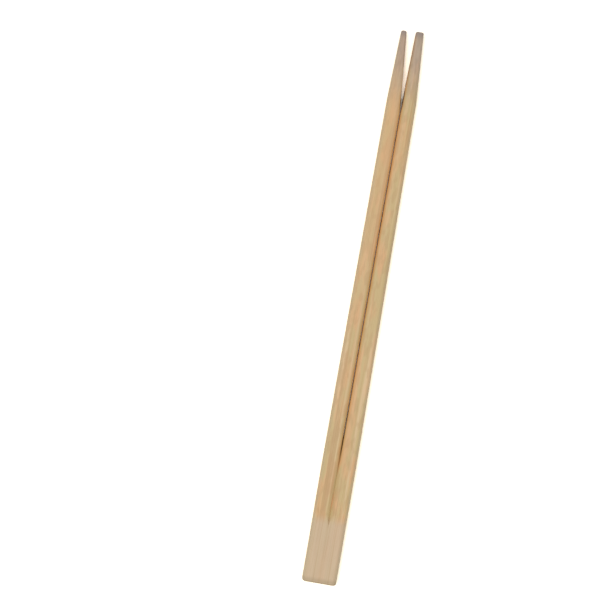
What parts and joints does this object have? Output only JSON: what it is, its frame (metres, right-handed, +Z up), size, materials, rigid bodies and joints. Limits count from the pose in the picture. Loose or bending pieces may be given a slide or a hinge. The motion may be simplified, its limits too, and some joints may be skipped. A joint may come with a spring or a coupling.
{
  "type": "bamboo chopsticks",
  "caption": "Unsplit pair of disposable bamboo chopsticks with a flat head, a grooved and slit body, and tapered tips.",
  "frame": {"origin": "under the middle of the pair, on the surface that it lies on", "axes": "+X across the pair, to the right seen from above with the tips away; +Y from the butt to the tips; +Z up, out of the face that the slit was cut from"},
  "size_m": [0.0142, 0.23, 0.005],
  "materials": {
    "bamboo": "bare planed bamboo, matt, with fine lengthwise grain"
  },
  "bodies": {
    "root": {"chopstick_pair": "bamboo"}
  },
  "joints": []
}
